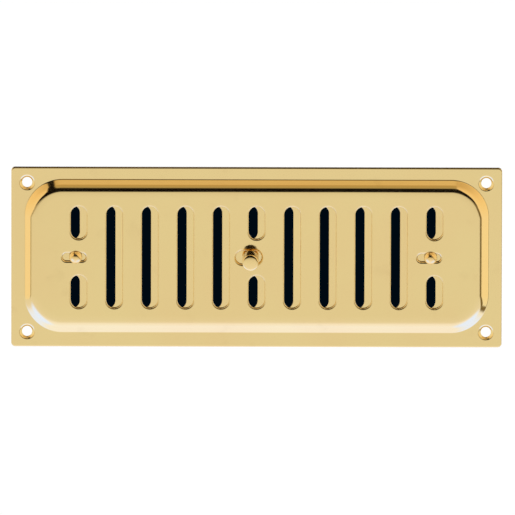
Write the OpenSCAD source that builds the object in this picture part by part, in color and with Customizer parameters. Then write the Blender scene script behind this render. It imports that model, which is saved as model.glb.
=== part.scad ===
// Slotted sliding wall vent in pressed brass sheet.
// X runs to the right, Y into the wall and Z up. The wall plane is y = 0 and
// the origin lies in it, at the middle of the four screw holes.

/* [Face plate] */
// Width of the whole face plate
plate_w = 242; // [236:1:248]
// Height of the whole face plate
plate_h = 89.8; // [88:0.1:96]
// Corner radius of the face plate
plate_r = 1.9; // [1.5:0.1:3]
// Thickness of the brass sheet
sheet = 0.7; // [0.6:0.1:0.8]
// Distance from the wall to the front of the flat border
border_d = 1.7; // [1.6:0.1:2.4]

/* [Raised panel] */
// Width of the raised panel at its foot
panel_w = 229.6; // [226:0.1:231]
// Height of the raised panel at its foot
panel_h = 77; // [75:0.5:77.5]
// How far the raised panel sits above the middle of the face plate
panel_z = 0.6; // [0:0.1:0.7]
// Corner radius of the raised panel at its foot
panel_r = 19; // [16:1:22]
// Width of the sloping band around the panel
slope_w = 6.6; // [5:0.1:7]
// How far the panel stands out from the flat border
panel_d = 2.4; // [2:0.1:3.5]

/* [Air slots] */
// Width of a slot in the face plate
slot_w = 8; // [7.6:0.1:8.2]
// Distance from one column of slots to the next
slot_pitch = 17.55; // [17.3:0.05:17.8]
// How far the slots, slide and knob sit above the middle of the face plate
slot_z = 0.3; // [0:0.1:0.6]
// Top end of every slot above the middle of the slots
slot_top = 25.4; // [24:0.1:26.5]
// Lower end of the short slots above the middle of the slots
short_slot_low = 9.1; // [8:0.1:10]
// Width of a slot in the slide
slide_slot_w = 7.6; // [7:0.1:7.7]
// How far the rolled edge of a slot reaches behind the sheet
rim_d = 0.7; // [0.5:0.1:0.9]
// Wall thickness of the rolled edge of a slot
rim_w = 0.6; // [0.5:0.1:0.7]

/* [Slide] */
// Width of the slide
slide_w = 198; // [194:1:200]
// Height of the slide
slide_h = 60; // [57:1:61]
// Where the slide stands, 0 with the slots wide open
slide_x = -3.2; // [-7.9:0.1:0]
// How far the slide travels in all
travel = 7.9; // [7.9:0.1:8.2]

/* [Guide rivets] */
// Distance between the two guide rivets
rivet_span = 175.1; // [174:0.1:176]
// How far the rivets sit to the right of the slide's slots
rivet_shift = 1.5; // [1:0.05:2]
// Diameter of a guide rivet's shank
rivet_shank_d = 3.6; // [3.4:0.1:4]
// Diameter of a guide rivet's domed head
rivet_head_d = 6.6; // [6.4:0.1:7]
// Height of a guide rivet's domed head
rivet_head_h = 1.6; // [1.2:0.1:2]

/* [Knob] */
// Diameter of the knob at its front
knob_head_d = 8.4; // [8:0.1:9]
// Diameter of the knob at its back
knob_back_d = 8; // [7:0.1:8]
// Diameter of the stem that carries the knob
knob_stem_d = 4.2; // [3.8:0.1:4.6]
// Gap between the panel and the back of the knob
knob_gap = 2.4; // [1.5:0.1:3]
// How far the knob stands out from the panel
knob_reach = 15.3; // [10:0.1:16]

/* [Screw holes] */
// Distance between the screw holes from left to right
screw_span_w = 226.4; // [226:0.1:227]
// Distance between the screw holes from top to bottom
screw_span_h = 74.6; // [74.4:0.1:75]
// Diameter of a screw hole
screw_d = 5; // [4.2:0.1:5.2]
// Diameter of the dish around a screw hole
screw_dish_d = 8.3; // [7.6:0.1:8.4]

/* [Hidden] */
$fn = 64;

cut = 1;                 // how far a cutting solid runs past the face that it cuts
column_n = 11;           // columns of air slots
short_every = 5;         // every fifth column is a pair of short slots
run_gap = 0.1;           // gap between the slide and the rolled slot edges
head_gap = 0.05;         // gap between a guide rivet's head and the panel
fit_gap = 0.02;          // radial gap between a rivet and its hole in the slide
slide_r = 5;             // corner radius of the slide
slide_slot_over = 0.4;   // how far the slide's slots reach past those of the face plate
guide_play = 0.3;        // play of a guide rivet's shank across its slot
knob_shift = 0.2;        // how far the knob sits to the right of the slide's slots

// Depths, all measured from the wall plane towards the room, which is -Y.
panel_front = -(border_d + panel_d);
panel_back = panel_front + sheet;
rim_back = panel_back + rim_d;
slide_front = rim_back + run_gap;
slide_back = slide_front + sheet;

// Guide slots and rivets.
guide_slot_h = rivet_shank_d + guide_play;
guide_slot_l = rivet_shank_d + travel;
rivet_x = [slide_x + rivet_shift - rivet_span / 2, slide_x + rivet_shift + rivet_span / 2];
open_play = -slide_x;                    // travel left to the right of this position
guide_mid_x = open_play - travel / 2;    // middle of a guide slot, seen from its rivet
washer_t = 0.5;
rivet_washer_d = 9;
rivet_edge_t = 0.35;     // straight edge under the dome of a rivet's head
rivet_tail_d = 5.6;      // clenched end of a rivet, behind its washer
rivet_tail_h = 0.7;

// Knob slot, knob and its rivet tenon.
knob_x = slide_x + knob_shift;
knob_slot_l = 12.8;
knob_slot_w = 6.7;
knob_slot_x = -3.9;
tenon_d = 3;
tenon_head_d = 4.8;
tenon_head_h = 0.7;
knob_washer_d = 8;
knob_dome_h = 0.8;       // height of the rounded front of the knob
dome_steps = 12;

// A solid drawn upright on the X-Z plane, from depth y0 to depth y1.
module from_to(y0, y1) {
    translate([0, y1, 0]) rotate([90, 0, 0]) linear_extrude(y1 - y0) children();
}

// A round bar along Y, from radius r0 at depth y0 to radius r1 at depth y1.
module y_bar(x, z, y0, y1, r0, r1) {
    translate([x, y1, z]) rotate([90, 0, 0]) cylinder(h = y1 - y0, r1 = r1, r2 = r0);
}

// A rectangle with round corners, from depth y0 to depth y1.
module round_block(w, h, r, y0, y1) {
    from_to(y0, y1) square([w - 2 * r, h], center = true);
    from_to(y0, y1) square([w, h - 2 * r], center = true);
    for (x = [-1, 1], z = [-1, 1]) y_bar(x * (w / 2 - r), z * (h / 2 - r), y0, y1, r, r);
}

// A bar of trapezoid section along X: z = -a to a at depth y1, slope_w less at depth y0.
module panel_bar(length, a, y0, y1) {
    b = a - slope_w;
    translate([-length / 2, 0, 0]) rotate([90, 0, 90])
        linear_extrude(length) polygon([[y1, -a], [y1, a], [y0, b], [y0, -b]]);
}

// The raised panel as a solid: a rectangle with round corners and sloping sides.
module panel_block(y0, y1) {
    corner_x = panel_w / 2 - panel_r;
    corner_z = panel_h / 2 - panel_r;
    translate([0, 0, panel_z]) {
        panel_bar(2 * corner_x, panel_h / 2, y0, y1);
        rotate([0, 90, 0]) panel_bar(2 * corner_z, panel_w / 2, y0, y1);
        for (x = [-1, 1], z = [-1, 1])
            y_bar(x * corner_x, z * corner_z, y0, y1, panel_r - slope_w, panel_r);
    }
}

// An upright slot with round ends: its column x, its ends from the middle of the slots, its width.
module slot_block(x, low, high, w, y0, y1) {
    r = w / 2;
    translate([0, 0, slot_z]) {
        translate([x, 0, 0]) from_to(y0, y1) translate([-r, low + r]) square([w, high - low - w]);
        y_bar(x, low + r, y0, y1, r, r);
        y_bar(x, high - r, y0, y1, r, r);
    }
}

// A level slot with round ends, centred on x.
module level_slot_block(x, length, w, y0, y1) {
    r = w / 2;
    translate([x, 0, slot_z]) from_to(y0, y1) square([length - w, w], center = true);
    for (side = [-1, 1]) y_bar(x + side * (length / 2 - r), slot_z, y0, y1, r, r);
}

// Every air slot: its columns moved by shift, w wide and over longer at each end.
module air_slots(shift, w, over, y0, y1) {
    top = slot_top + over;
    low = short_slot_low - over;
    for (i = [0 : column_n - 1]) {
        x = shift + (i - (column_n - 1) / 2) * slot_pitch;
        if (i % short_every == 0) {
            slot_block(x, low, top, w, y0, y1);
            slot_block(x, -top, -low, w, y0, y1);
        } else {
            slot_block(x, -top, top, w, y0, y1);
        }
    }
}

// The two guide slots and the knob slot, grown by grow on each side.
module level_slots(grow, y0, y1) {
    for (x = rivet_x)
        level_slot_block(x + guide_mid_x, guide_slot_l + 2 * grow, guide_slot_h + 2 * grow, y0, y1);
    level_slot_block(knob_slot_x, knob_slot_l + 2 * grow, knob_slot_w + 2 * grow, y0, y1);
}

// A round bar or cone at each of the four screw holes.
module at_screws(y0, y1, r0, r1) {
    for (x = [-1, 1], z = [-1, 1])
        y_bar(x * screw_span_w / 2, z * screw_span_h / 2, y0, y1, r0, r1);
}

module front_plate() {
    color("#e1cb8f")
    difference() {
        union() {
            difference() {
                union() {
                    round_block(plate_w, plate_h, plate_r, -border_d, 0);
                    panel_block(panel_front, -border_d);
                }
                round_block(plate_w - 2 * sheet, plate_h - 2 * sheet, plate_r - sheet, sheet - border_d, cut);
                panel_block(panel_back, sheet - border_d);
            }
            air_slots(0, slot_w + 2 * rim_w, rim_w, panel_front, rim_back);
            level_slots(rim_w, panel_front, rim_back);
            at_screws(-border_d, 0, screw_dish_d / 2 + sheet, screw_d / 2 + sheet);
        }
        air_slots(0, slot_w, 0, panel_front - cut, cut);
        level_slots(0, panel_front - cut, cut);
        at_screws(-border_d - cut, cut, screw_d / 2, screw_d / 2);
        at_screws(-border_d, -sheet, screw_dish_d / 2, screw_d / 2);
    }
}

module slide_plate() {
    color("#d8bd7c")
    difference() {
        translate([slide_x + rivet_shift, 0, slot_z])
            round_block(slide_w, slide_h, slide_r, slide_front, slide_back);
        air_slots(slide_x, slide_slot_w, slide_slot_over, slide_front - cut, slide_back + cut);
        for (x = rivet_x)
            y_bar(x, slot_z, slide_front - cut, slide_back + cut,
                  rivet_shank_d / 2 + fit_gap, rivet_shank_d / 2 + fit_gap);
        y_bar(knob_x, slot_z, slide_front - cut, slide_back + cut,
              tenon_d / 2 + fit_gap, tenon_d / 2 + fit_gap);
    }
}

// A solid of revolution about a line along Y, at x. Its outline is a list of
// points, each a radius and a depth.
module turned(x, outline) {
    translate([x, 0, slot_z]) rotate([-90, 0, 0]) rotate_extrude() polygon(outline);
}

// Points of a dome from radius r at depth y to its tip at depth y + h. A
// negative h points towards the room.
function dome(r, y, h) =
    [for (i = [0 : dome_steps]) let (a = 90 * i / dome_steps) [r * cos(a), y + h * sin(a)]];

module knob() {
    front_edge = panel_front - knob_reach + knob_dome_h;
    back_edge = panel_front - knob_gap;
    tenon_end = slide_back + washer_t;
    tenon_r = tenon_d / 2;
    stem_r = knob_stem_d / 2;
    color("#e4c98a")
    turned(knob_x, concat(
        dome(knob_head_d / 2, front_edge, -knob_dome_h),
        [for (i = [0 : dome_steps]) dome(tenon_head_d / 2, tenon_end, tenon_head_h)[dome_steps - i]],
        [[tenon_r, tenon_end], [tenon_r, slide_front]],
        [[stem_r, slide_front], [stem_r, back_edge]],
        [[knob_back_d / 2, back_edge]]
    ));
}

// A washer behind the slide.
module washer(x, outer_d, inner_d) {
    difference() {
        y_bar(x, slot_z, slide_back, slide_back + washer_t, outer_d / 2, outer_d / 2);
        y_bar(x, slot_z, slide_back - cut, slide_back + washer_t + cut, inner_d / 2, inner_d / 2);
    }
}

module knob_washer() {
    color("#cfae62") washer(knob_x, knob_washer_d, tenon_d + 2 * fit_gap);
}

// A rivet with a domed head in front of the panel, clenched behind its washer.
module guide_rivet(x) {
    shank_r = rivet_shank_d / 2;
    head_r = rivet_head_d / 2;
    head_back = panel_front - head_gap;
    tail_front = slide_back + washer_t;
    dome_h = rivet_head_h - rivet_edge_t;
    turned(x, concat(
        dome(head_r, head_back - rivet_edge_t, -dome_h),
        [for (i = [0 : dome_steps]) dome(rivet_tail_d / 2, tail_front, rivet_tail_h)[dome_steps - i]],
        [[shank_r, tail_front], [shank_r, head_back]],
        [[head_r, head_back]]
    ));
}

module left_guide_rivet() {
    color("#dcbf7c") guide_rivet(rivet_x[0]);
}

module right_guide_rivet() {
    color("#dcbf7c") guide_rivet(rivet_x[1]);
}

module left_guide_washer() {
    color("#cfae62") washer(rivet_x[0], rivet_washer_d, rivet_shank_d + 2 * fit_gap);
}

module right_guide_washer() {
    color("#cfae62") washer(rivet_x[1], rivet_washer_d, rivet_shank_d + 2 * fit_gap);
}

front_plate();
slide_plate();
knob();
knob_washer();
left_guide_rivet();
right_guide_rivet();
left_guide_washer();
right_guide_washer();
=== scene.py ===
"""A slotted sliding wall vent in polished brass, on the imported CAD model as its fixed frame.

X runs to the right, Y into the wall and Z up. The room is on the -Y side. Shapes are worked out
in millimetres and turned into metres when their mesh is made.
"""
import math

import bmesh
import bpy
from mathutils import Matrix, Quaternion, Vector
from mathutils.geometry import tessellate_polygon


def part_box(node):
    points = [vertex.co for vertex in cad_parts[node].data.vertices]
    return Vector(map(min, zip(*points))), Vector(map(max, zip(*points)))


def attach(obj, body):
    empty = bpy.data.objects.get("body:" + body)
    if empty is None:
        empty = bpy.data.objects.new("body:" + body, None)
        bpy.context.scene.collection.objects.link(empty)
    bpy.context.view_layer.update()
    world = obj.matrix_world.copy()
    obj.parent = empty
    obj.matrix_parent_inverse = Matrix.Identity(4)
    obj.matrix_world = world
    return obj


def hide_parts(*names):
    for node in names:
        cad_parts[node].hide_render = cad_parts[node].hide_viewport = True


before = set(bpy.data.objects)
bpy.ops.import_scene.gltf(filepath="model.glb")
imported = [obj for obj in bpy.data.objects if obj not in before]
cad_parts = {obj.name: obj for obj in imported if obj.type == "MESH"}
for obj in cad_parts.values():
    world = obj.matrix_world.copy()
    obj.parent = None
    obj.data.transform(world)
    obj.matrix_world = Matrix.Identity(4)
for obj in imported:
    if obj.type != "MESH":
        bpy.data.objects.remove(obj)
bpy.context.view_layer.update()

MM = 0.001


def box_mm(node):
    """A node's lowest and highest corners at rest, in millimetres."""
    low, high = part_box(node)
    return [c / MM for c in low], [c / MM for c in high]


def middle_x(node):
    """The middle of a node's width, in millimetres."""
    low, high = box_mm(node)
    return (low[0] + high[0]) / 2


# Sizes that the frame holds.
PLATE_LOW, PLATE_HIGH = box_mm("front_plate")
PLATE_W = PLATE_HIGH[0] - PLATE_LOW[0]
PLATE_H = PLATE_HIGH[2] - PLATE_LOW[2]
PANEL_FRONT = PLATE_LOW[1]
SLIDE_LOW, SLIDE_HIGH = box_mm("slide_plate")
SLIDE_FRONT, SLIDE_BACK = SLIDE_LOW[1], SLIDE_HIGH[1]
KNOB_LOW, KNOB_HIGH = box_mm("knob")
KNOB_X = middle_x("knob")
RIVET_X = [middle_x("left_guide_rivet"), middle_x("right_guide_rivet")]
WASHER_BACK = box_mm("knob_washer")[1][1]

# The face plate, as in the CAD.
SHEET = 0.7
PLATE_R = 1.9
# Bends that follow each other are each a radius, and the tilt in degrees where the bend ends.
LIP_RIM = [(2.6, 15), (0.18, 90)]      # the plate's outer edge
PANEL_W, PANEL_H, PANEL_R = 229.6, 77.0, 19.0
PANEL_Z = 0.6
SLOPE_TILT = 30
SLOPE_FOOT = [(1.3, SLOPE_TILT)]       # from the border up to the panel's slope
SLOPE_TOP = [(60.0, 2.5), (9.5, 16), (7.5, SLOPE_TILT)]    # from the panel's flat top down to its slope
PANEL_D = 2.4
BORDER_FRONT = PANEL_FRONT + PANEL_D
SCREW_SPAN = (226.4, 74.6)
SCREW_R, DISH_R = 2.5, 4.15
DISH_BEND, DISH_TILT = 1.5, 42
HOLE_EDGE = (0.12, 0.08)               # soft edge between a dish and its hole: width and depth

# Slots.
SLOT_PITCH = 17.55
COLUMNS = 11
SHORT_EVERY = 5
SLOT_Z = 0.3
SLOT_TOP, SHORT_LOW = 25.4, 9.1
SLOT_W, SLIDE_SLOT_W, SLIDE_SLOT_OVER = 8.0, 7.6, 0.4
AIR_RIM = [(3.4, 12), (0.25, 35), (0.6, 90)]    # the edge of an air slot
LEVEL_RIM = [(2.6, 18), (0.5, 90)]     # the edge of a guide slot and of the knob slot
RUN_GAP = 0.1                          # between the slide and the rolled edges of the slots
RIM_BACK = SLIDE_FRONT - RUN_GAP
GUIDE_SLOT = (11.5, 3.9)
KNOB_SLOT = (12.8, 6.7)
KNOB_SLOT_X = -3.9
TRAVEL_LEFT, TRAVEL_RIGHT = 4.7, 3.2   # how far a guide slot reaches past its rivet's shank

# The slide and what it carries.
RIVET_SHIFT = 1.5
SLIDE_MIDDLE = (SLIDE_LOW[0] + SLIDE_HIGH[0]) / 2
SLIDE_X = SLIDE_MIDDLE - RIVET_SHIFT
SLIDE_R = 5
SHANK_R, TENON_R = 1.8, 1.5
FIT = 0.02                             # radial gap round a shank or a tenon
KNOB_WASHER_R, RIVET_WASHER_R = 4.0, 4.5
KNOB_GAP = 2.4                         # between the panel and the knob's back
HEAD_GAP = 0.05                        # between the panel and a rivet's head
KNOB_DOME = [(30, 5), (7.5, 13), (0.45, 90)]
RIVET_DOME = [(6.0, 18), (2.8, 48), (0.4, 90)]

# How worn the bends are, from 0 to 1.
SLOPE_WEAR = 0.03
LIP_FULL_WEAR, RIM_FULL_WEAR = 110, 30    # tilts at which wear reaches 1

# How finely curves are divided.
CORNER_STEPS = 24
SLOT_STEPS = 20
BEND_STEPS = 6
EDGE_STEPS = 3
TURN_STEPS = 72
TIP_R = 0.001                          # a turned piece's tip is a ring this small
SHARP_ANGLE = 38                       # edges sharper than this stay sharp


# ---------------------------------------------------------------- outlines

def round_rect(half_w, half_h, radius, middle_z=0.0):
    """A rectangle with round corners, as points (x, z) anticlockwise."""
    points = []
    for side_x, side_z, start in ((1, 1, 0), (-1, 1, 90), (-1, -1, 180), (1, -1, 270)):
        for i in range(CORNER_STEPS + 1):
            angle = math.radians(start + 90 * i / CORNER_STEPS)
            points.append((side_x * (half_w - radius) + radius * math.cos(angle),
                           middle_z + side_z * (half_h - radius) + radius * math.sin(angle)))
    return points


def stadium(x, z, half_x, half_z, radius):
    """A slot with round ends: radius round the two points at half_x, half_z from its middle."""
    points = []
    for side, start in ((1, 0), (-1, 180)):
        tilt = 0 if half_z > half_x else -90
        for i in range(SLOT_STEPS + 1):
            angle = math.radians(start + tilt + 180 * i / SLOT_STEPS)
            points.append((x + side * half_x + radius * math.cos(angle),
                           z + side * half_z + radius * math.sin(angle)))
    return points


def circle(x, z, radius, steps=48):
    """A circle as points (x, z) anticlockwise."""
    return [(x + radius * math.cos(math.tau * i / steps), z + radius * math.sin(math.tau * i / steps))
            for i in range(steps)]


def upright_slot(x, z, half_h, width):
    """An upright slot's outline, as a function of how far it is grown."""
    return lambda grow: stadium(x, z, 0, half_h - width / 2, width / 2 + grow)


def level_slot(x, length, width):
    """A level slot's outline, as a function of how far it is grown."""
    return lambda grow: stadium(x, SLOT_Z, (length - width) / 2, 0, width / 2 + grow)


def round_hole(x, radius):
    """A round hole's outline, as a function of how far it is grown."""
    return lambda grow: circle(x, SLOT_Z, radius + grow)


def air_slots(shift):
    """Every air slot: its x, the height of its middle and half its height."""
    slots = []
    for i in range(COLUMNS):
        x = shift + (i - (COLUMNS - 1) / 2) * SLOT_PITCH
        if i % SHORT_EVERY == 0:
            middle, half = (SLOT_TOP + SHORT_LOW) / 2, (SLOT_TOP - SHORT_LOW) / 2
            slots += [(x, SLOT_Z + middle, half), (x, SLOT_Z - middle, half)]
        else:
            slots.append((x, SLOT_Z, SLOT_TOP))
    return slots


def bends(radii):
    """Points along bends that follow each other, as (distance, depth, tilt) from a flat start."""
    points = [(0.0, 0.0, 0.0)]
    tilt, across, deep = 0.0, 0.0, 0.0
    for radius, end in radii:
        for i in range(1, BEND_STEPS + 1):
            angle = math.radians(tilt + (end - tilt) * i / BEND_STEPS)
            start = math.radians(tilt)
            points.append((across + radius * (math.sin(angle) - math.sin(start)),
                           deep + radius * (math.cos(start) - math.cos(angle)), math.degrees(angle)))
        tilt = end
        across, deep, _ = points[-1]
    return points


# ------------------------------------------------------------ mesh building

class Shell:
    """Points and faces of one mesh in millimetres, with how worn each point is, from 0 to 1."""

    def __init__(self):
        self.points = []
        self.faces = []
        self.wear = []

    def ring(self, outline, y, wear=0.0):
        """Adds an outline at depth y and gives its points' numbers."""
        first = len(self.points)
        self.points += [(x, y, z) for x, z in outline]
        self.wear += [wear] * len(outline)
        return list(range(first, len(self.points)))

    def bridge(self, a, b):
        """Joins two rings of the same length with a band of quads."""
        count = len(a)
        for i in range(count):
            j = (i + 1) % count
            self.faces.append((a[i], a[j], b[j], b[i]))

    def rings(self, rows):
        """Adds rings, each (outline, depth, wear), joined in turn. Gives the first and the last."""
        numbers = [self.ring(*row) for row in rows]
        for a, b in zip(numbers, numbers[1:]):
            self.bridge(a, b)
        return numbers[0], numbers[-1]

    def fill(self, outer, holes=()):
        """Fills a flat ring, apart from the rings in it."""
        loops = [outer, *holes]
        flat = [[Vector((self.points[n][0], self.points[n][2], 0)) for n in loop] for loop in loops]
        numbers = [n for loop in loops for n in loop]
        self.faces += [tuple(numbers[i] for i in face) for face in tessellate_polygon(flat)]

    def mesh(self, name):
        """The mesh in metres, with its normals made to agree."""
        mesh = bpy.data.meshes.new(name)
        mesh.from_pydata([[c * MM for c in point] for point in self.points], [], self.faces)
        layer = mesh.attributes.new("wear", "FLOAT", "POINT")
        layer.data.foreach_set("value", self.wear)
        work = bmesh.new()
        work.from_mesh(mesh)
        bmesh.ops.recalc_face_normals(work, faces=work.faces)
        work.to_mesh(mesh)
        work.free()
        return mesh


def add_object(name, mesh):
    """Puts a mesh into the scene."""
    piece = bpy.data.objects.new(name, mesh)
    bpy.context.scene.collection.objects.link(piece)
    return piece


def apply_modifiers(piece):
    """Makes the result of a piece's modifiers its mesh."""
    graph = bpy.context.evaluated_depsgraph_get()
    mesh = bpy.data.meshes.new_from_object(piece.evaluated_get(graph), depsgraph=graph)
    piece.modifiers.clear()
    piece.data = mesh


def smooth(piece):
    """Shades a piece smooth, apart from its sharp edges, with its flats kept flat."""
    work = bmesh.new()
    work.from_mesh(piece.data)
    limit = math.radians(SHARP_ANGLE)
    for edge in work.edges:
        edge.smooth = len(edge.link_faces) == 2 and edge.calc_face_angle() < limit
    for face in work.faces:
        face.smooth = True
    work.to_mesh(piece.data)
    work.free()
    weights = piece.modifiers.new("flat_faces", "WEIGHTED_NORMAL")
    weights.keep_sharp = True
    weights.weight = 100


# ---------------------------------------------------------------- materials

class Nodes:
    """A node tree that is built by short calls."""

    def __init__(self, tree):
        self.tree = tree
        tree.nodes.clear()

    def add(self, kind, values=None, **settings):
        """Adds a node, sets its properties, and sets or links its inputs."""
        node = self.tree.nodes.new("ShaderNode" + kind)
        for key, value in settings.items():
            setattr(node, key, value)
        for key, value in (values or {}).items():
            if isinstance(value, bpy.types.NodeSocket):
                self.tree.links.new(value, node.inputs[key])
            else:
                node.inputs[key].default_value = value
        return node

    def maths(self, operation, a, b=0.0):
        """The result of a Math node."""
        return self.add("Math", {0: a, 1: b}, operation=operation).outputs[0]

    def mix(self, factor, a, b):
        """A mix of two colours."""
        return self.add("Mix", {0: factor, 6: a, 7: b}, data_type="RGBA").outputs[2]

    def noise(self, where, scale, detail):
        """A noise value from 0 to 1."""
        return self.add("TexNoise", {"Vector": where, "Scale": scale, "Detail": detail}).outputs[0]

    def smooth_step(self, value, low, high):
        """0 up to low, 1 from high, and a smooth rise between."""
        node = self.add("MapRange", {0: value, 1: low, 2: high}, interpolation_type="SMOOTHSTEP")
        return node.outputs[0]

    def window(self, value, low, high, soft):
        """1 between low and high, 0 outside, with soft edges."""
        up = self.smooth_step(value, low - soft, low + soft)
        down = self.smooth_step(value, high + soft, high - soft)
        return self.maths("MULTIPLY", up, down)

    def curve(self, degrees, stops):
        """A number that changes with an angle from -90 to 90. Stops are (angle, number below 100)."""
        grey = self.bands(degrees, [(angle, (number / 100,) * 3) for angle, number in stops])
        return self.maths("MULTIPLY", grey, 100.0)

    def bands(self, degrees, stops):
        """A colour that changes with an angle from -90 to 90. Stops are (angle, colour)."""
        place = self.span(degrees, -90.0, 90.0, 0.0, 1.0)
        ramp = self.add("ValToRGB", {0: place})
        elements = ramp.color_ramp.elements
        while len(elements) < len(stops):
            elements.new(0.5)
        half = 0.5           # a ramp holds no more than 1, so it holds half and is doubled
        for element, (angle, colour) in zip(elements, stops):
            element.position = (angle + 90) / 180
            element.color = (*[c * half for c in colour], 1)
        whole = self.add("VectorMath", {0: ramp.outputs[0], "Scale": 1 / half}, operation="SCALE")
        return whole.outputs[0]

    def span(self, value, low, high, to_low, to_high):
        """A value carried from one range to another."""
        return self.add("MapRange", {0: value, 1: low, 2: high, 3: to_low, 4: to_high}).outputs[0]


TARNISH = (0.42, 0.24, 0.08, 1)


def brass(name, colour, rough, tarnish_most=0.12, worn=0.06, waviness=0.0):
    """Polished brass: faint colour drift and smudges, fine polishing lines, bright worn bends.

    tarnish_most is how far the smudges go towards tarnish, and worn is how much rougher the worn
    bends are. Thin sheet is never quite flat: waviness is the height in metres of its slow waves.
    """
    material = bpy.data.materials.new(name)
    material.use_nodes = True
    n = Nodes(material.node_tree)
    where = n.add("TexCoord").outputs["Object"]
    wear = n.add("Attribute", attribute_name="wear").outputs["Fac"]
    drift = n.noise(where, 22.0, 4.0)
    cloud = n.noise(where, 95.0, 5.0)
    speck = n.noise(where, 1400.0, 2.0)
    redder = (colour[0], colour[1] * 0.965, colour[2] * 0.97)
    base = n.mix(n.span(drift, 0.35, 0.65, 0.0, 1.0), (*colour, 1), (*redder, 1))
    stain = n.maths("MULTIPLY", n.span(cloud, 0.62, 0.85, 0.0, 1.0), tarnish_most)
    base = n.mix(stain, base, TARNISH)
    rubbed = (colour[0] * 0.98, colour[1] * 0.96, colour[2] * 0.95)
    base = n.mix(n.maths("MULTIPLY", wear, 0.9), base, (*rubbed, 1))
    lines_at = n.add("Mapping", {"Vector": where, "Scale": (6.0, 900.0, 900.0)}).outputs[0]
    lines = n.noise(lines_at, 4.0, 2.0)
    roughness = n.span(cloud, 0.35, 0.75, rough * 0.8, rough * 1.35)
    roughness = n.maths("ADD", roughness, n.maths("MULTIPLY", lines, 0.03))
    roughness = n.maths("ADD", roughness, n.maths("MULTIPLY", wear, worn))
    height = n.maths("ADD", n.maths("MULTIPLY", lines, 0.5), n.maths("MULTIPLY", speck, 0.25))
    waves = n.add("Bump", {"Height": n.noise(where, 11.0, 0.0), "Strength": 1.0,
                           "Distance": waviness}).outputs[0]
    bump = n.add("Bump", {"Height": height, "Strength": 0.02, "Distance": 0.0001,
                          "Normal": waves}).outputs[0]
    shader = n.add("BsdfPrincipled", {"Base Color": base, "Metallic": 1.0, "Roughness": roughness,
                                      "Normal": bump})
    out = n.add("OutputMaterial")
    n.tree.links.new(shader.outputs[0], out.inputs[0])
    return material


# ------------------------------------------------------------------- pieces

def slope_rows():
    """The rings of the raised panel's edge, from its foot to its flat top."""
    foot = bends(SLOPE_FOOT)
    top = bends(SLOPE_TOP)
    rise_left = PANEL_D - foot[-1][1] - top[-1][1]
    width = foot[-1][0] + rise_left / math.tan(math.radians(SLOPE_TILT)) + top[-1][0]
    profile = [(across, up) for across, up, _ in foot]
    profile += [(width - across, PANEL_D - deep) for across, deep, _ in reversed(top)]
    return [(round_rect(PANEL_W / 2 - d, PANEL_H / 2 - d, PANEL_R - d, PANEL_Z), BORDER_FRONT - up,
             SLOPE_WEAR) for d, up in profile]


def lip_rows():
    """The rings of the turned-back edge, from the wall plane to the flat border."""
    points = bends(LIP_RIM)
    width = points[-1][0]
    rows = [(round_rect(PLATE_W / 2, PLATE_H / 2, PLATE_R), 0.0, 0.6)]
    for across, deep, tilt in reversed(points):
        d = width - across
        rows.append((round_rect(PLATE_W / 2 - d, PLATE_H / 2 - d, PLATE_R - d),
                     BORDER_FRONT + deep, tilt / LIP_FULL_WEAR))
    return rows


def rim_rows(outline, radii, back):
    """The rings of a pressed-in slot edge. outline(grow) gives the slot's outline, grown by grow."""
    points = bends(radii)
    width = points[-1][0]
    rows = [(outline(width - across), PANEL_FRONT + deep, min(1.0, tilt / RIM_FULL_WEAR))
            for across, deep, tilt in points]
    rows.append((outline(0.0), back, 0.3))
    return rows


def dish_rows(x, z):
    """The rings of a screw hole's dish: a small bend, a cone, and the hole through."""
    rows = []
    for i in range(BEND_STEPS + 1):
        angle = math.radians(DISH_TILT * i / BEND_STEPS)
        rows.append((circle(x, z, DISH_R - DISH_BEND * math.sin(angle)),
                     BORDER_FRONT + DISH_BEND * (1 - math.cos(angle)), 0.1 * i / BEND_STEPS))
    edge_w, edge_d = HOLE_EDGE
    rows.append((circle(x, z, SCREW_R + edge_w), -SHEET - edge_d, 0.1))
    rows.append((circle(x, z, SCREW_R), -SHEET, 0.3))
    return rows


def front_plate(material):
    """The pressed face plate: turned-back edge, border, raised panel, rolled slots and dishes."""
    shell = Shell()
    _, border = shell.rings(lip_rows())
    foot, top = shell.rings(slope_rows())
    dishes = []
    for x in (-1, 1):
        for z in (-1, 1):
            dishes.append(shell.rings(dish_rows(x * SCREW_SPAN[0] / 2, z * SCREW_SPAN[1] / 2))[0])
    shell.fill(border, [foot, *dishes])
    mouths = []
    for x, z, half_h in air_slots(0.0):
        outline = upright_slot(x, z, half_h, SLOT_W)
        mouths.append(shell.rings(rim_rows(outline, AIR_RIM, RIM_BACK))[0])
    guide_mid = (TRAVEL_RIGHT - TRAVEL_LEFT) / 2
    level = [(x + guide_mid, *GUIDE_SLOT) for x in RIVET_X] + [(KNOB_SLOT_X, *KNOB_SLOT)]
    for x, length, width in level:
        outline = level_slot(x, length, width)
        mouths.append(shell.rings(rim_rows(outline, LEVEL_RIM, RIM_BACK))[0])
    shell.fill(top, mouths)
    mesh = shell.mesh("front_plate")
    if max(mesh.polygons, key=lambda face: face.area).normal.y > 0:
        mesh.flip_normals()
    piece = add_object("face_plate", mesh)
    thick = piece.modifiers.new("sheet", "SOLIDIFY")
    thick.thickness = SHEET * MM
    thick.offset = -1
    thick.use_even_offset = False
    apply_modifiers(piece)
    finish_piece(piece, "face", "front_plate", material)
    return piece


def finish_piece(piece, body, node, material):
    """Gives a piece its shading and its material, puts it on its body, and hides the CAD node that it
    stands for.
    """
    smooth(piece)
    piece.data.materials.clear()
    piece.data.materials.append(material)
    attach(piece, body)
    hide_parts(node)


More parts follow.
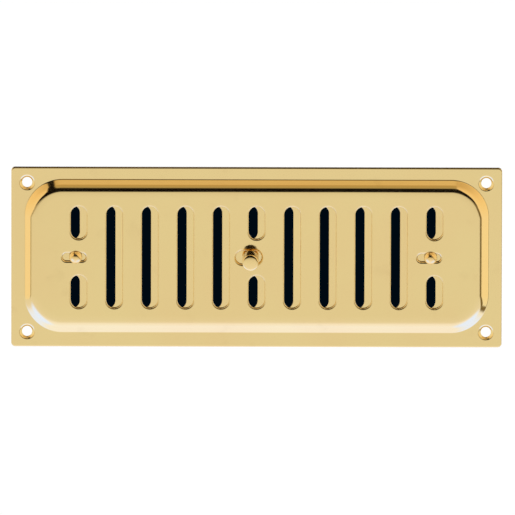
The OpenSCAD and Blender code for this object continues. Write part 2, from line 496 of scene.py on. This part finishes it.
def slide_plate(material):
    """The slotted slide: a flat sheet with softly broken edges."""
    edge = 0.12
    half_w = (SLIDE_HIGH[0] - SLIDE_LOW[0]) / 2
    half_h = (SLIDE_HIGH[2] - SLIDE_LOW[2]) / 2
    shell = Shell()

    def wall(outline):
        """The rings of an edge, from the front face to the back face."""
        rows = []
        for y, side in ((SLIDE_FRONT, 1), (SLIDE_BACK, -1)):
            for i in range(EDGE_STEPS + 1):
                step = i if side > 0 else EDGE_STEPS - i
                angle = math.radians(90 * step / EDGE_STEPS)
                rows.append((outline(edge * (1 - math.sin(angle))),
                             y + side * edge * (1 - math.cos(angle)), 0.9 * math.sin(angle)))
        return rows

    def body(inset):
        """The slide's own outline, made smaller by inset."""
        outline = round_rect(half_w - inset, half_h - inset, SLIDE_R - inset, SLOT_Z)
        return [(x + SLIDE_MIDDLE, z) for x, z in outline]

    front, back = shell.rings(wall(body))
    fronts, backs = [], []
    outlines = [upright_slot(x, z, half + SLIDE_SLOT_OVER, SLIDE_SLOT_W)
                for x, z, half in air_slots(SLIDE_X)]
    outlines += [round_hole(x, SHANK_R + FIT) for x in RIVET_X]
    outlines.append(round_hole(KNOB_X, TENON_R + FIT))
    for outline in outlines:
        first, last = shell.rings(wall(outline))
        fronts.append(first)
        backs.append(last)
    shell.fill(front, fronts)
    shell.fill(back, backs)
    piece = add_object("slide", shell.mesh("slide"))
    finish_piece(piece, "slide", "slide_plate", material)
    return piece


def turned(name, x, profile, material, body, node):
    """A solid of revolution about a line along Y. Its profile is a list of (radius, depth, wear)."""
    shell = Shell()
    rows = [(circle(x, SLOT_Z, max(r, TIP_R), TURN_STEPS), y, wear) for r, y, wear in profile]
    first, last = shell.rings(rows)
    if profile[0][0] < TIP_R:
        shell.fill(first)
        shell.fill(last)
    else:
        shell.bridge(last, first)
    piece = add_object(name, shell.mesh(name))
    finish_piece(piece, body, node, material)
    return piece


def arc(mid_r, mid_y, size_r, size_y, start, end, steps, wear=0.5):
    """Points of an arc in radius and depth, each with its wear."""
    points = []
    for i in range(steps + 1):
        angle = math.radians(start + (end - start) * i / steps)
        points.append((mid_r + size_r * math.cos(angle), mid_y + size_y * math.sin(angle), wear))
    return points


def domed(radii, tip):
    """The profile of a domed end with its tip at depth tip, from bends that follow each other."""
    return [(across, tip + deep, tilt / 90) for across, deep, tilt in bends(radii)]


def knob(material):
    """The knob: a slim stem and a slightly tapered round bar with a flattened dome at the front."""
    back_r, stem_r, tail_r = 4.0, 2.1, 2.4
    edge, fillet, tail_edge = 0.25, 0.1, 0.5
    back = PANEL_FRONT - KNOB_GAP
    profile = domed(KNOB_DOME, KNOB_LOW[1])
    profile += arc(back_r - edge, back - edge, edge, edge, 0, 90, 6, 1.0)
    profile += [(stem_r + fillet, back, 0.1), (stem_r, back + fillet, 0.1), (stem_r, SLIDE_FRONT, 0)]
    profile += [(TENON_R, SLIDE_FRONT, 0), (TENON_R, WASHER_BACK, 0), (tail_r, WASHER_BACK, 0.4)]
    profile += arc(tail_r - tail_edge, KNOB_HIGH[1] - tail_edge, tail_edge, tail_edge, 0, 90, 6)
    profile += [(0.0, KNOB_HIGH[1], 0.3)]
    return turned("knob_turned", KNOB_X, profile, material, "slide", "knob")


def guide_rivet(side, x, material):
    """A domed rivet through a guide slot, clenched behind its washer."""
    tail_r, tail_h = 2.8, 0.7
    head_back = PANEL_FRONT - HEAD_GAP
    profile = domed(RIVET_DOME, box_mm(side + "_guide_rivet")[0][1])
    profile += [(profile[-1][0], head_back, 0.2), (SHANK_R, head_back, 0), (SHANK_R, WASHER_BACK, 0)]
    profile += [(tail_r, WASHER_BACK, 0.3)]
    profile += arc(0, WASHER_BACK, tail_r, tail_h, 0, 90, 14, 0.4)[1:]
    return turned(side + "_rivet", x, profile, material, "slide", side + "_guide_rivet")


def washer(name, x, outer_r, inner_r, material, node):
    """A stamped washer with soft edges."""
    edge = 0.1
    front, back = SLIDE_BACK, WASHER_BACK
    profile = [(inner_r, front, 0), (outer_r - edge, front, 0), (outer_r, front + edge, 0.8),
               (outer_r, back - edge, 0.8), (outer_r - edge, back, 0.8), (inner_r + edge, back, 0.5),
               (inner_r, back - edge, 0.5)]
    return turned(name, x, profile, material, "slide", node)


# ------------------------------------------------------------ scene and light

# Colours of the studio's parts, each as (angle above the horizon, colour).
FRONT_LIGHT = [(-90, (1.10, 1.19, 1.80)), (-54, (1.11, 1.24, 1.90)), (-34, (1.08, 1.15, 1.56)),
               (-24, (0.94, 0.95, 1.07)), (-10, (0.875, 0.88, 0.87)), (-4, (0.81, 0.80, 0.78)),
               (-1, (0.60, 0.58, 0.54)), (2, (0.004, 0.002, 0.001)), (90, (0.012, 0.008, 0.005))]
TOP_LIGHT = [(20, (0.40, 0.32, 0.18)), (28, (0.50, 0.40, 0.22)), (38, (0.56, 0.42, 0.20)),
             (47, (0.60, 0.41, 0.18)), (50, (0.84, 0.64, 0.36)), (60, (0.90, 0.72, 0.55))]
SIDE_LIGHT = [(-25, (1.02, 1.02, 1.0)), (-10, (1.07, 0.956, 0.78)), (10, (1.06, 0.87, 0.58)),
              (24, (1.02, 0.78, 0.48)), (36, (0.86, 0.65, 0.38)), (46, (0.74, 0.54, 0.29))]
# Where each light starts, as (angle above the horizon, degrees to that side).
TOP_LEFT = [(17, 4), (47, 19)]
TOP_RIGHT = [(26, 7), (47, 14)]
RIGHT_START = [(-36, 75), (-27, 63), (-18, 54), (-10, 38), (-1, 26), (4, 23), (8, 20), (12, 16),
               (16, 12), (26, 7), (47, 13)]
RIGHT_LINE = [(-36, 60), (-27, 50), (-18, 38), (-10, 26), (-5, 16), (-1, 11)]
LEFT_START = [(-24, 78), (-17, 62), (-10, 50), (-5, 40), (-1, 28), (4, 24), (8, 21), (12, 18),
              (19, 18), (43, 32)]
LEFT_LINE = [(-17, 56), (-10, 43), (-1, 13)]
# Each side: its sign, where its warm light starts, the darker line along it, how dark and how low
# that line goes, and the light beyond the warm one.
SIDES = [(1, RIGHT_START, RIGHT_LINE, (0.22, 0.17, 0.09), -33, (0.92, 0.90, 0.78)),
         (-1, LEFT_START, LEFT_LINE, (0.52, 0.46, 0.35), -13, (0.95, 0.95, 0.88))]
TOP_FROM, TOP_TO = 23, 70              # the heights between which the top light hangs
LINE_TO = 1                            # the height at which the darker lines end
SIDE_TOP = (74, 66)                    # the side lights fade out between these heights
SIDE_BACK = (150, 140)                 # and between these turns to the back
BEYOND = (63, 72)                      # the light beyond takes over between these turns
GLINTS = [(34, -47), (-40, -39)]       # two cold spots: turn and rise
GLINT_LIGHT = (0.93, 1.28, 2.95, 1)
GLINT_EDGE, GLINT_CORE = 23, 9         # how far from its middle a spot ends, and is full


def studio_world():
    """A pale studio, in degrees above the horizon (rise) and right of the way the face looks (turn).

    It is bright below and in front, dark over the horizon, and warm at the top and on both sides.
    The camera and matt surfaces see plain white: only gloss sees the studio.
    """
    world = bpy.data.worlds.new("studio")
    bpy.context.scene.world = world
    world.use_nodes = True
    n = Nodes(world.node_tree)
    way = n.add("TexCoord").outputs["Generated"]
    x, y, z = n.add("SeparateXYZ", {0: way}).outputs
    rise = n.maths("MULTIPLY", n.maths("ARCSINE", z), math.degrees(1))
    turn = n.maths("MULTIPLY", n.maths("ARCTAN2", x, n.maths("MULTIPLY", y, -1.0)), math.degrees(1))
    colour = n.bands(rise, FRONT_LIGHT)

    past_left = n.maths("ADD", turn, n.curve(rise, TOP_LEFT))
    past_right = n.maths("SUBTRACT", turn, n.curve(rise, TOP_RIGHT))
    top = n.maths("MULTIPLY", n.smooth_step(past_left, -1, 1), n.smooth_step(past_right, 1, -1))
    top = n.maths("MULTIPLY", top, n.window(rise, TOP_FROM, TOP_TO, 4))
    colour = n.mix(top, colour, n.bands(rise, TOP_LIGHT))

    for sign, start, line, dark, lowest, beyond in SIDES:
        aside = n.maths("MULTIPLY", turn, float(sign))
        past = n.maths("SUBTRACT", aside, n.curve(rise, start))
        past_line = n.maths("SUBTRACT", aside, n.curve(rise, line))
        shade = n.maths("MULTIPLY", n.smooth_step(past_line, -1, 2), n.smooth_step(past, 1, -1))
        shade = n.maths("MULTIPLY", shade, n.window(rise, lowest, LINE_TO, 3))
        colour = n.mix(shade, colour, (*dark, 1))
        side = n.maths("MULTIPLY", n.smooth_step(past, -1, 1.5), n.smooth_step(rise, *SIDE_TOP))
        warm = n.mix(n.smooth_step(aside, *BEYOND), n.bands(rise, SIDE_LIGHT), (*beyond, 1))
        side = n.maths("MULTIPLY", side, n.smooth_step(aside, *SIDE_BACK))
        colour = n.mix(side, colour, warm)

    for glint in GLINTS:
        around, up = (math.radians(angle) for angle in glint)
        centre = (math.sin(around) * math.cos(up), -math.cos(around) * math.cos(up), math.sin(up))
        near = n.add("VectorMath", {0: way, 1: centre}, operation="DOT_PRODUCT").outputs["Value"]
        spot = n.smooth_step(near, math.cos(math.radians(GLINT_EDGE)), math.cos(math.radians(GLINT_CORE)))
        colour = n.mix(spot, colour, GLINT_LIGHT)

    studio = n.add("Background", {"Color": colour, "Strength": 1.0})
    white = n.add("Background", {"Color": (1, 1, 1, 1), "Strength": 1.0})
    gloss = n.add("LightPath").outputs["Is Glossy Ray"]
    both = n.add("MixShader", {0: gloss, 1: white.outputs[0], 2: studio.outputs[0]})
    out = n.add("OutputWorld")
    n.tree.links.new(both.outputs[0], out.inputs[0])


def glow_material(name, colour):
    """An even glow. Here it is near-black: painted shade for the card behind the slots."""
    material = bpy.data.materials.new(name)
    material.use_nodes = True
    n = Nodes(material.node_tree)
    shader = n.add("Emission", {"Color": (*colour, 1), "Strength": 1.0})
    out = n.add("OutputMaterial")
    n.tree.links.new(shader.outputs[0], out.inputs[0])
    return material


def floor_material():
    """A plain pale matt floor."""
    material = bpy.data.materials.new("pale_floor")
    material.use_nodes = True
    n = Nodes(material.node_tree)
    shader = n.add("BsdfPrincipled", {"Base Color": (0.9, 0.9, 0.9, 1), "Roughness": 0.9,
                                      "Specular IOR Level": 0.0,
                                      "Emission Color": (1, 1, 1, 1), "Emission Strength": 0.11})
    out = n.add("OutputMaterial")
    n.tree.links.new(shader.outputs[0], out.inputs[0])
    return material


def card(name, middle, across, up, material):
    """A flat staged rectangle, from its middle and its two half sides."""
    corners = [middle - across - up, middle + across - up, middle + across + up, middle - across + up]
    mesh = bpy.data.meshes.new(name)
    mesh.from_pydata([tuple(c) for c in corners], [], [(0, 1, 2, 3)])
    mesh.materials.append(material)
    piece = add_object(name, mesh)
    piece.visible_glossy = False
    return piece


def camera_and_stage():
    """The long-lens camera, the floor, and a near-black card far behind the slots, painted shade that
    only the camera sees.
    """
    tilt, roll = math.radians(10), math.radians(0.14)
    distance, view_w = 11.0, 0.2541      # view_w is the width that the frame takes in at the vent
    forward = Vector((0, math.cos(tilt), -math.sin(tilt)))
    upward = Vector((0, math.sin(tilt), math.cos(tilt)))
    target = Vector((0.00045, 0, -0.00037))    # the point in the middle of the frame
    data = bpy.data.cameras.new("camera")
    data.sensor_width = 36
    data.lens = data.sensor_width * distance / view_w
    data.clip_end = 200
    camera = bpy.data.objects.new("camera", data)
    bpy.context.scene.collection.objects.link(camera)
    camera.location = target - forward * distance
    level = forward.to_track_quat("-Z", "Y")
    camera.rotation_euler = (level @ Quaternion((0, 0, 1), roll)).to_euler()
    bpy.context.scene.camera = camera
    beyond = 12.0                        # how far behind the vent the painted shade card stands
    card_half_w, card_half_h = 0.100, 0.032    # its half sizes as they appear at the vent
    grow = (distance + beyond) / distance
    # Painted shade: a near-black glowing card that only the camera sees, standing for the darkness seen
    # through the slots.
    dark = card("painted_shade_card", target + forward * beyond, Vector((card_half_w * grow, 0, 0)),
                upward * card_half_h * grow, glow_material("painted_shade_glow", (0.0, 0.0028, 0.006)))
    dark.visible_diffuse = False
    dark.visible_shadow = False
    card("floor", Vector((0, 0, -5)), Vector((60, 0, 0)), Vector((0, 60, 0)), floor_material())


camera_and_stage()
studio_world()
bpy.context.scene.view_settings.view_transform = "Standard"

sheet_brass = brass("sheet_brass", (0.87, 0.68, 0.31), rough=0.06, worn=0.2, waviness=0.001)
slide_brass = brass("slide_brass", (0.87, 0.675, 0.305), rough=0.1, tarnish_most=0.15)
turned_brass = brass("turned_brass", (0.90, 0.70, 0.31), rough=0.07)
rivet_brass = brass("rivet_brass", (0.89, 0.64, 0.25), rough=0.17)
washer_brass = brass("washer_brass", (0.80, 0.62, 0.30), rough=0.2, tarnish_most=0.4)

front_plate(sheet_brass)
slide_plate(slide_brass)
knob(turned_brass)
washer("knob_backing_washer", KNOB_X, KNOB_WASHER_R, TENON_R + FIT, washer_brass,
               "knob_washer")
for side, x in zip(("left", "right"), RIVET_X):
    guide_rivet(side, x, rivet_brass)
    washer(side + "_rivet_washer", x, RIVET_WASHER_R, SHANK_R + FIT, washer_brass,
                   side + "_guide_washer")
